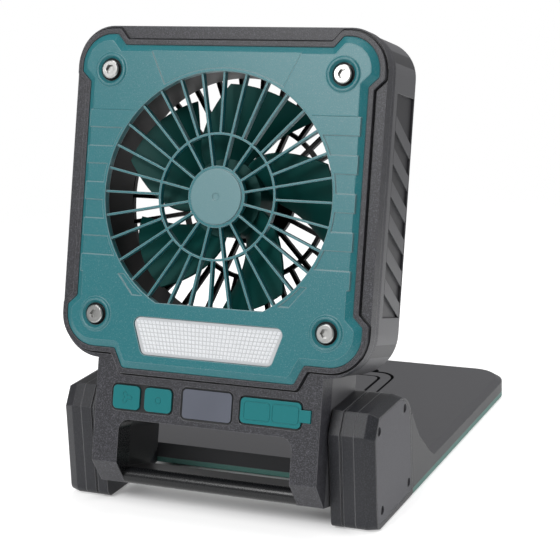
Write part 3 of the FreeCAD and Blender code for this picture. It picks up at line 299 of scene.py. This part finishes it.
def moulded(name, colour, grain=1700.0, depth=0.00006, rough=0.5, spread=0.06, coat=0.0,
            specular=0.45, edge=0.0007, edge_highlight=0.25, grip_and_shade=None, dust_and_top_light=None, side_recess_shade=None):
    """Moulded plastic: a fine erosion grain, slight flow tone, painted edge highlights, uneven
    gloss.
    """
    finish = Finish(name, roughness=rough, coat=coat, specular=specular)
    fine = finish.noise(grain, 3.0, 0.65)
    flow = finish.noise(9.0, 2.0)
    soft = finish.soft_edges(edge)
    tone = finish.mix(flow, shaded(colour, 1.0 - spread), shaded(colour, 1.0 + spread))
    speck = finish.step(fine, 0.35, 0.7)
    tone = finish.mix(speck * 0.35, tone, shaded(colour, 1.0 + 2.2 * spread))
    # Painted highlight: the softened edges are painted paler.
    tone = finish.mix(finish.edge_mask(soft, 0.02, 0.2) * edge_highlight, tone, paler(colour, 0.35))
    # The bar gets its own near-black; the walls of its opening get painted shade in that colour.
    if grip_and_shade is not None:
        tone = finish.mix(grip_and_opening_shade_zone(finish), tone, grip_and_shade)
    # Painted shade on the floors of the side recesses.
    if side_recess_shade is not None:
        across = abs(finish.along(ACROSS, FAN_CENTRE))
        inner, outer = SIDE_RECESS_FLOOR
        tone = finish.mix((across > inner) * (across < outer), tone, side_recess_shade)
    # Painted top light: faces that look upward are painted paler.
    if dust_and_top_light is not None:
        upward = finish.facing((0.0, 0.0, 1.0))
        tone = finish.mix(finish.step(upward, 0.3, 0.95), tone, dust_and_top_light)
    return finish.feed(colour=tone, roughness=rough - 0.05 + flow * 0.1,
                       normal=finish.bump(fine, 0.55, depth, soft))


def textured(name, colour, light, grain=900.0, depth=0.00016, rough=0.6, edge=0.0008,
             edge_highlight=0.5, grip_and_shade=None):
    """Coarsely eroded shell plastic: pale grains on a dark ground, painted highlights on the edges.
    """
    finish = Finish(name, roughness=rough, specular=0.4)
    coarse = finish.noise(grain, 4.0, 0.7)
    pits = finish.cells(grain * 1.3)
    soft = finish.soft_edges(edge)
    grains = finish.step(coarse, 0.47, 0.66)
    tone = finish.mix(grains, colour, light)
    # Painted highlight: the softened edges are painted paler.
    tone = finish.mix(finish.edge_mask(soft, 0.02, 0.2) * edge_highlight, tone, paler(light, 0.22))
    height = coarse + pits * 0.4
    gloss = rough + grains * 0.12
    if grip_and_shade is not None:
        # The bar is near-black and smooth; the walls of its opening get painted shade and are
        # smoothed too.
        smooth = grip_and_opening_shade_zone(finish)
        tone = finish.mix(smooth, tone, grip_and_shade)
        # Painted shade: the floors of the grooves round the cover and controls are painted
        # near-black.
        tone = finish.mix(groove_shade_zone(finish), tone, grip_and_shade)
        height = height * (1 - smooth)
        gloss = gloss * (1 - smooth * 0.35)
    return finish.feed(colour=tone, roughness=gloss,
                       normal=finish.bump(height, 0.6, depth, soft))


def sparkled(name, colour, light, grain=1500.0, rough=0.35):
    """Cover plastic: a matt spark-eroded face with painted glints a tone lighter on its tiny facets.
    """
    finish = Finish(name, roughness=rough, specular=0.5)
    grain_field = finish.noise(grain, 3.0, 0.75)
    flow = finish.noise(7.0, 2.0)
    soft = finish.soft_edges(0.001)
    # Painted glint: specks of the grain are painted a tone lighter, as facets catching light.
    painted_glint = finish.step(grain_field, 0.52, 0.68)
    tone = finish.mix(flow, shaded(colour, 0.96), shaded(colour, 1.04))
    tone = finish.mix(painted_glint * 0.5, tone, light)
    # Painted highlight along the softened edges of the cover.
    tone = finish.mix(finish.edge_mask(soft, 0.01, 0.1) * 0.8, tone, paler(light, 0.16))
    # Painted sheen: the hub disc in the middle of the grille is painted a tone lighter.
    from_axis = finish.node("ShaderNodeVectorMath", {"operation": "DISTANCE"},
                            {0: finish.place, 1: tuple(FAN_CENTRE)}, 1)
    tone = finish.mix((from_axis < HUB_RADIUS) * 0.55, tone, paler(light, 0.03))
    return finish.feed(colour=tone, roughness=rough - 0.04 + flow * 0.08,
                       normal=finish.bump(grain_field, 0.5, 0.00007, soft))


def turned_metal(name, colour, rough=0.28, scale=260.0):
    """Plated or turned metal with fine drawn lines and soft stains."""
    finish = Finish(name, roughness=rough, metallic=1.0)
    lines = finish.noise(scale, 5.0, 0.7)
    fine = finish.noise(2600.0, 2.0)
    tone = finish.mix(lines, shaded(colour, 0.94), shaded(colour, 1.06))
    return finish.feed(colour=tone, roughness=rough - 0.04 + lines * 0.1,
                       normal=finish.bump(fine, 0.12, 0.00001, finish.soft_edges(0.0004)))


def milky_lens(name, colour):
    """Opal lens plastic with painted shade in the valleys between its prisms (the mesh's own rise).
    """
    finish = Finish(name, roughness=0.24, coat=0.35)
    cloud = finish.noise(60.0, 2.0)
    rise = finish.node("ShaderNodeAttribute", {"attribute_name": "rise"}, output="Fac")
    # Painted shade: the valleys between the prisms are painted greyer.
    tone = finish.mix(finish.step(rise, 0.0, 0.36), shaded(colour, 0.66), colour)
    tone = finish.mix(cloud * 0.3, tone, shaded(colour, 0.85))
    return finish.feed(colour=tone, roughness=0.18 + cloud * 0.14)


def solder_resist(name, colour):
    """Printed board: resist over faint copper tracks."""
    finish = Finish(name, roughness=0.35, coat=0.3)
    tracks = finish.node("ShaderNodeTexWave",
                         {"wave_type": "BANDS", "bands_direction": "DIAGONAL"},
                         {"Vector": finish.place, "Scale": 180.0, "Distortion": 3.0}, 1)
    tone = finish.mix(finish.step(tracks, 0.6, 0.7), colour, shaded(colour, 1.5))
    return finish.feed(colour=tone, roughness=0.3 + tracks * 0.1)


def soft_rubber(name, colour):
    """Matt rubber with a dusty bloom."""
    finish = Finish(name, roughness=0.85, specular=0.25)
    dust_and_top_light = finish.noise(700.0, 4.0, 0.7)
    return finish.feed(colour=finish.mix(dust_and_top_light, colour, shaded(colour, 1.8)),
                       roughness=0.78 + dust_and_top_light * 0.14, normal=finish.bump(dust_and_top_light, 0.4, 0.00005))


def dark_window(name, colour):
    """Tinted glossy window of the display."""
    finish = Finish(name, roughness=0.4, coat=0.15)
    haze = finish.noise(45.0, 2.0)
    return finish.feed(colour=finish.mix(haze, colour, shaded(colour, 1.15)),
                       roughness=0.34 + haze * 0.1)


def make_finishes(settings):
    """Every finish by the name of the record's material slot, plus those of single pieces."""
    cover = tuple(settings.cover_colour) + (1.0,)
    accent = tuple(settings.accent_colour) + (1.0,)
    # Near-black of the bar under the head's opening, also used as painted shade in the opening and
    # grooves.
    grip_black_and_shade = srgb(24, 25, 27)
    return {
        "green_plastic": sparkled("cover_green", cover, paler(cover, 0.17)),
        "accent": moulded("button_green", accent, rough=0.5, grain=2100.0, edge_highlight=0.12,
                          specular=0.35),
        "black_plastic": textured("bezel_charcoal", srgb(44, 44, 48), srgb(92, 92, 99),
                                  grain=1350.0, rough=0.4, edge_highlight=0.6, grip_and_shade=grip_black_and_shade),
        "grille_black": moulded("duct_black", srgb(10, 10, 12), rough=0.45, edge_highlight=0.04,
                                specular=0.2),
        "grey_plastic": moulded("housing_grey", srgb(95, 95, 98), rough=0.42, spread=0.03,
                                edge_highlight=0.14, grip_and_shade=grip_black_and_shade, side_recess_shade=srgb(60, 60, 63)),
        "base_grey": moulded("base_top_grey", srgb(42, 43, 46), rough=0.45, spread=0.03,
                             edge_highlight=0.3, dust_and_top_light=srgb(84, 84, 87)),
        "block_grey": textured("block_charcoal", srgb(32, 33, 37), srgb(60, 61, 67),
                               grain=1400.0, edge=0.001, rough=0.4, edge_highlight=0.8),
        # The side covers are painted paler than the blocks' charcoal: a painted sheen of the side
        # faces.
        "side_plastic": textured("side_cover_charcoal_painted_sheen", srgb(86, 86, 90), srgb(104, 104, 110),
                                 grain=1900.0),
        "base_green": moulded("base_green", srgb(76, 122, 114), rough=0.5),
        "blade_plastic": moulded("blade_green", srgb(2, 62, 58), rough=0.55, specular=0.2,
                                 depth=0.00002, edge_highlight=0.05),
        "steel": turned_metal("screw_steel", srgb(176, 176, 174), rough=0.3, scale=90.0),
        "motor_steel": turned_metal("motor_can", srgb(170, 171, 173), rough=0.35),
        "port_metal": turned_metal("port_shell", srgb(190, 190, 190), rough=0.3),
        "nickel": turned_metal("contact_nickel", srgb(190, 186, 172), rough=0.3),
        "lens": milky_lens("lens_opal", srgb(243, 245, 248)),
        "board": solder_resist("board_green", srgb(24, 84, 52)),
        "module": moulded("display_module_black", srgb(40, 40, 44), rough=0.45),
        "window": dark_window("display_tint", srgb(88, 92, 104)),
        "blackened_steel": turned_metal("side_screw_black", srgb(70, 70, 74), rough=0.4),
        "rubber": soft_rubber("foot_rubber", srgb(34, 34, 34)),
        "nylon": moulded("washer_nylon", srgb(214, 213, 205), rough=0.4),
        "cell_sleeve": moulded("cell_sleeve_blue", srgb(58, 96, 150), rough=0.25, coat=0.3),
    }


SINGLE_FINISH = {
    "base_top_shell": "base_grey", "hanging_loop": "base_grey",
    "left_side_screws": "blackened_steel", "right_side_screws": "blackened_steel",
    "fan_button": "accent", "light_button": "accent", "port_cover": "accent",
    "air_duct": "grille_black", "rear_grille": "grille_black",
    "screw_washers": "grille_black",
    "left_block_inner": "block_grey", "right_block_inner": "block_grey",
    "left_block_outer": "block_grey", "right_block_outer": "block_grey",
}
FINISHES = {}


def finish_of(node):
    """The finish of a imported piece: its own where it has one, else that of its slot."""
    return FINISHES[SINGLE_FINISH.get(node, NODE_SLOT[node])]


def wear(target, material):
    """Puts one material on every face of a mesh object."""
    target.data.materials.clear()
    target.data.materials.append(material)


def dress(*nodes):
    """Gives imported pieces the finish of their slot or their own."""
    for node in nodes:
        wear(frame["nodes"][node], finish_of(node))


def add_object(name, data):
    """A new object for a mesh, lamp or camera, linked to the scene."""
    added = bpy.data.objects.new(name, data)
    bpy.context.collection.objects.link(added)
    return added


def quad_piece(name, points, corners, body, material):
    """A piece that rides on a body, its quads given as four grids of point numbers."""
    quads = np.stack(corners, axis=-1).reshape(-1, 4)
    mesh = bpy.data.meshes.new(name)
    mesh.from_pydata(points.reshape(-1, 3).tolist(), [], quads.tolist())
    piece = add_object(name, mesh)
    wear(piece, material)
    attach(piece, body)
    return piece


def head_points(u, v, w):
    """Frame points of head coordinates: centre + u * across + v * upward + w * outward."""
    axes = np.array([ACROSS, UPWARD, OUTWARD])
    local = np.stack([u, v, w], axis=-1) * MM
    return local @ axes + np.array(FAN_CENTRE)


def raised_line(name, path, half_wide, body):
    """A raised line along a closed path: an oval of half width a and half height b carried round.

    Point = path + side * a cos(f) + outward * b sin(f), where side = tangent x outward and f
    runs once round. Both ways are closed, so the skin has no seam."""
    out = np.array(OUTWARD)
    tangent = np.roll(path, -1, axis=0) - np.roll(path, 1, axis=0)
    tangent /= np.linalg.norm(tangent, axis=1, keepdims=True)
    side = np.cross(tangent, out)
    turn = np.linspace(0.0, 2.0 * np.pi, 9)[:-1]
    high = half_wide * LINE_HEIGHT_SHARE
    rows = (path[:, None, :] + side[:, None, :] * (half_wide * np.cos(turn))[None, :, None]
            + out[None, None, :] * (high * np.sin(turn))[None, :, None])
    index = np.arange(rows.shape[0] * rows.shape[1]).reshape(rows.shape[:2])
    ahead, beside = np.roll(index, -1, axis=0), np.roll(index, -1, axis=1)
    both = np.roll(ahead, -1, axis=1)
    piece = quad_piece(name, rows, [index, ahead, both, beside], body, FINISHES["accent"])
    piece.data.shade_smooth()


def rounded_path(u, v, wide, high, corner, w):
    """A rounded rectangle on the head as frame points: quarter turns about four corners."""
    turn = np.linspace(0.0, np.pi / 2.0, 7)
    us, vs = [], []
    for step, (side, level) in enumerate(((1, 1), (-1, 1), (-1, -1), (1, -1))):
        angle = turn + step * np.pi / 2.0
        us.append(u + side * (wide / 2.0 - corner) + corner * np.cos(angle))
        vs.append(v + level * (high / 2.0 - corner) + corner * np.sin(angle))
    us, vs = np.concatenate(us), np.concatenate(vs)
    return head_points(us, vs, np.full(us.shape, w))


def polar_path(u, radius, turn):
    """A closed path about a button's middle: u + r cos(f), v + r sin(f)."""
    return head_points(u + radius * np.cos(turn), CONTROLS_V + radius * np.sin(turn),
                       np.full(turn.shape, SIGN_W))


class CampingFanSettings(bpy.types.PropertyGroup):
    """Sizes and colours that a user would change."""
    cover_colour: FloatVectorProperty(
        name="Cover Colour", description="Colour of the grille cover", subtype="COLOR",
        size=3, min=0.0, max=1.0, default=srgb(26, 114, 122)[:3])
    accent_colour: FloatVectorProperty(
        name="Accent Colour", description="Colour of the buttons and the port cover",
        subtype="COLOR", size=3, min=0.0, max=1.0, default=srgb(2, 116, 120)[:3])
    relief_line: FloatProperty(
        name="Relief Line", description="Width of the raised lines on buttons and port cover",
        subtype="DISTANCE", unit="LENGTH", min=0.0002, max=0.002, default=0.0006)
    prism_columns: IntProperty(
        name="Prism Columns", description="Columns of prisms across the lens", min=8, max=60,
        default=36)
    prism_rows: IntProperty(
        name="Prism Rows", description="Rows of prisms on the lens", min=3, max=16, default=8)


class CAMPINGFAN_OT_finishes(bpy.types.Operator):
    """Make every finish that the pieces wear"""
    bl_idname = "campingfan.finishes"
    bl_label = "Finishes"

    def execute(self, context):
        FINISHES.update(make_finishes(context.scene.camping_fan))
        return {"FINISHED"}


class CAMPINGFAN_OT_head(bpy.types.Operator):
    """Finish the cover, the shells, the air path and the screws of the head"""
    bl_idname = "campingfan.head"
    bl_label = "Fan Head"

    def execute(self, context):
        dress("front_cover", "front_shell", "rear_housing", "air_duct", "rear_grille",
              "screw_washers", "cover_screws", "housing_screws", "left_hinge_pin",
              "right_hinge_pin")
        return {"FINISHED"}


class CAMPINGFAN_OT_fan(bpy.types.Operator):
    """Finish the blades, the motor and what holds them"""
    bl_idname = "campingfan.fan"
    bl_label = "Fan and Motor"

    def execute(self, context):
        dress("fan_blades", "fan_nut", "motor", "motor_shaft", "motor_screws")
        return {"FINISHED"}


class CAMPINGFAN_OT_controls(bpy.types.Operator):
    """Finish the controls and press generic relief into the buttons and the port cover"""
    bl_idname = "campingfan.controls"
    bl_label = "Controls"

    def execute(self, context):
        dress("fan_button", "light_button", "port_cover", "display_window", "display_module",
              "control_board", "switches", "charging_ports")
        line = context.scene.camping_fan.relief_line / 2.0
        for name, u in PORT_FRAMES.items():
            path = rounded_path(u, CONTROLS_V, *PORT_FRAME_SIZE, PORT_FRAME_CORNER,
                                PORT_FRAME_W)
            raised_line(name, path, line, "port_cover")
        turn = np.linspace(0.0, 2.0 * np.pi, 73)[:-1]
        # Three-lobed rotor sign: r = radius + lobe cos(3 f). The lamp sign is a ring.
        rotor = ROTOR_RADIUS + ROTOR_LOBE * np.cos(3.0 * turn)
        raised_line("rotor_sign", polar_path(FAN_BUTTON_U, rotor, turn), line, "fan_button")
        raised_line("lamp_sign", polar_path(LIGHT_BUTTON_U, LAMP_RADIUS, turn), line,
                    "light_button")
        return {"FINISHED"}


class CAMPINGFAN_OT_base(bpy.types.Operator):
    """Finish the folding base and the hanging loop"""
    bl_idname = "campingfan.base"
    bl_label = "Folding Base"

    def execute(self, context):
        dress("base_top_shell", "base_bottom_shell", "base_screws", "rubber_feet",
              "hanging_loop", "loop_pins")
        return {"FINISHED"}


class CAMPINGFAN_OT_blocks(bpy.types.Operator):
    """Finish both hinge blocks with their covers, screws, washers and cells"""
    bl_idname = "campingfan.blocks"
    bl_label = "Hinge Blocks"

    def execute(self, context):
        for side in ("left_", "right_"):
            dress(*[side + part for part in (
                "block_inner", "block_outer", "side_cover", "side_screws",
                "friction_washer", "battery_cells", "battery_contacts")])
        return {"FINISHED"}


class CAMPINGFAN_OT_lens(bpy.types.Operator):
    """Press the grid of small prisms into the face of the lens"""
    bl_idname = "campingfan.lens"
    bl_label = "Lens Relief"

    def execute(self, context):
        settings = context.scene.camping_fan
        columns, rows = settings.prism_columns, settings.prism_rows
        # Across s and down t run 0..1 over the trapezoid; each prism is a small pyramid:
        # w = foot + height * min(1 - |2 frac(s n) - 1|, 1 - |2 frac(t m) - 1|).
        s = np.linspace(0.0, 1.0, columns * CUTS_PER_PRISM + 1)
        t = np.linspace(0.0, 1.0, rows * CUTS_PER_PRISM + 1)
        s, t = np.meshgrid(s, t)
        half = LENS_TOP_HALF + (LENS_BOTTOM_HALF - LENS_TOP_HALF) * t
        across = 1.0 - np.abs(2.0 * ((s * columns) % 1.0) - 1.0)
        down = 1.0 - np.abs(2.0 * ((t * rows) % 1.0) - 1.0)
        rise = np.minimum(across, down)
        points = head_points((2.0 * s - 1.0) * half, LENS_TOP_V - t * LENS_HEIGHT,
                             PRISM_FOOT_W + PRISM_HEIGHT * rise)
        index = np.arange(s.size).reshape(s.shape)
        corners = [index[:-1, :-1], index[:-1, 1:], index[1:, 1:], index[1:, :-1]]
        dress("led_lens", "led_board")
        prisms = quad_piece("lens_prisms", points, corners, "head", FINISHES["lens"])
        # The rise of each point drives the lens finish's painted shade in the valleys.
        field = prisms.data.attributes.new("rise", "FLOAT", "POINT")
        field.data.foreach_set("value", rise.ravel())
        return {"FINISHED"}


def add_floor():
    """A pale floor that keeps the object's shadow, glows to the camera and fades outward."""
    mesh = bpy.data.meshes.new("floor")
    mesh.from_pydata([(-FLOOR_HALF, -FLOOR_HALF, 0), (FLOOR_HALF, -FLOOR_HALF, 0),
                      (FLOOR_HALF, FLOOR_HALF, 0), (-FLOOR_HALF, FLOOR_HALF, 0)],
                     [], [(0, 1, 2, 3)])
    floor = add_object("floor", mesh)
    finish = Finish("floor_pale", roughness=0.9, specular=0.1)
    finish.shader.inputs["Emission Strength"].default_value = 1.0
    cloud = finish.noise(0.7, 1.0)
    camera, glossy, through = [
        finish.node("ShaderNodeLightPath", output=name)
        for name in ("Is Camera Ray", "Is Glossy Ray", "Is Transmission Ray")]
    seen = camera.larger(glossy.larger(through))
    away = finish.node("ShaderNodeVectorMath", {"operation": "LENGTH"}, {0: finish.place}, 1)
    # How far a floor point lies outside the object's own box, as the larger of two sides
    low, high = (np.array(corner) for corner in FRAME_BOX)
    middle, half = (low + high) / 2.0, (high - low) / 2.0
    past = [abs(finish.along(axis, Vector(middle.tolist()))) - float(half[index] - GLOW_INSET)
            for index, axis in enumerate((Vector((1, 0, 0)), Vector((0, 1, 0))))]
    outside = finish.step(past[0].larger(past[1]), 0.0, 0.03)
    wear(floor, finish.feed(
        colour=finish.mix(cloud, *FLOOR_TONES),
        glow=finish.mix(seen * outside, (0.0, 0.0, 0.0, 1.0), FLOOR_GLOW),
        alpha=1 - finish.step(away, *FLOOR_FADE)))


def add_world(scene):
    """A white world: dim as a light, full where the camera or a clear piece sees it."""
    world = bpy.data.worlds.new("studio")
    scene.world = world
    world.use_nodes = True
    tree = world.node_tree
    background = tree.nodes["Background"]
    path = tree.nodes.new("ShaderNodeLightPath")
    seen = tree.nodes.new("ShaderNodeMath")
    seen.operation = "MAXIMUM"
    level = tree.nodes.new("ShaderNodeMapRange")
    level.inputs["To Min"].default_value = LIT_STRENGTH
    level.inputs["To Max"].default_value = SEEN_STRENGTH
    background.inputs["Color"].default_value = (1.0, 1.0, 1.0, 1.0)
    for source, target in ((path.outputs["Is Camera Ray"], seen.inputs[0]),
                           (path.outputs["Is Transmission Ray"], seen.inputs[1]),
                           (seen.outputs[0], level.inputs["Value"]),
                           (level.outputs[0], background.inputs["Strength"])):
        tree.links.new(source, target)


def add_lamps():
    """Three square lamps aimed at the object."""
    for name, at, size, power in LAMPS:
        data = bpy.data.lights.new(name, "AREA")
        data.size = size
        data.energy = power
        lamp = add_object(name, data)
        lamp.location = at
        lamp.rotation_euler = (LAMP_AIM - Vector(at)).to_track_quat("-Z", "Y").to_euler()


def add_camera(scene):
    """The photo's camera; back = (sin a cos e, -cos a cos e, sin e), turned by the roll."""
    azimuth, height, roll = (math.radians(angle) for angle in CAMERA_ANGLES)
    back = Vector((math.sin(azimuth) * math.cos(height),
                   -math.cos(azimuth) * math.cos(height), math.sin(height)))
    level_right = Vector((math.cos(azimuth), math.sin(azimuth), 0.0))
    level_up = back.cross(level_right)
    right = level_right * math.cos(roll) + level_up * math.sin(roll)
    up = level_up * math.cos(roll) - level_right * math.sin(roll)
    at = (CAMERA_TARGET + back * CAMERA_BACK + right * CAMERA_RIGHT + up * CAMERA_UP) * MM
    data = bpy.data.cameras.new("camera")
    data.sensor_width = SENSOR_WIDTH
    data.lens = FOCAL_PIXELS / PHOTO_PIXELS * SENSOR_WIDTH
    camera = add_object("camera", data)
    camera.matrix_world = Matrix((
        (right.x, up.x, back.x, at.x), (right.y, up.y, back.y, at.y),
        (right.z, up.z, back.z, at.z), (0.0, 0.0, 0.0, 1.0)))
    scene.camera = camera


class CAMPINGFAN_OT_stage(bpy.types.Operator):
    """Set the pale floor, the soft light and the camera"""
    bl_idname = "campingfan.stage"
    bl_label = "Stage"

    def execute(self, context):
        add_floor()
        add_world(context.scene)
        add_lamps()
        add_camera(context.scene)
        context.scene.view_settings.view_transform = "Standard"
        return {"FINISHED"}


class CAMPINGFAN_PT_panel(bpy.types.Panel):
    """Sizes, colours and the steps that dress the fan"""
    bl_label = "Camping Fan"
    bl_idname = "CAMPINGFAN_PT_panel"
    bl_space_type = "VIEW_3D"
    bl_region_type = "UI"
    bl_category = "Camping Fan"

    def draw(self, context):
        layout = self.layout
        settings = context.scene.camping_fan
        for name in CampingFanSettings.__annotations__:
            layout.prop(settings, name)
        for step in STEPS:
            layout.operator(step.bl_idname)


STEPS = (CAMPINGFAN_OT_finishes, CAMPINGFAN_OT_head, CAMPINGFAN_OT_fan,
         CAMPINGFAN_OT_controls, CAMPINGFAN_OT_lens, CAMPINGFAN_OT_base, CAMPINGFAN_OT_blocks,
         CAMPINGFAN_OT_stage)
CLASSES = (CampingFanSettings,) + STEPS + (CAMPINGFAN_PT_panel,)


def register():
    for item in CLASSES:
        bpy.utils.register_class(item)
    bpy.types.Scene.camping_fan = PointerProperty(type=CampingFanSettings)


def unregister():
    del bpy.types.Scene.camping_fan
    for item in reversed(CLASSES):
        bpy.utils.unregister_class(item)


def main():
    register()
    bpy.ops.campingfan.finishes()
    bpy.ops.campingfan.head()
    bpy.ops.campingfan.fan()
    bpy.ops.campingfan.controls()
    bpy.ops.campingfan.lens()
    bpy.ops.campingfan.base()
    bpy.ops.campingfan.blocks()
    bpy.ops.campingfan.stage()


if __name__ == "__main__":
    main()
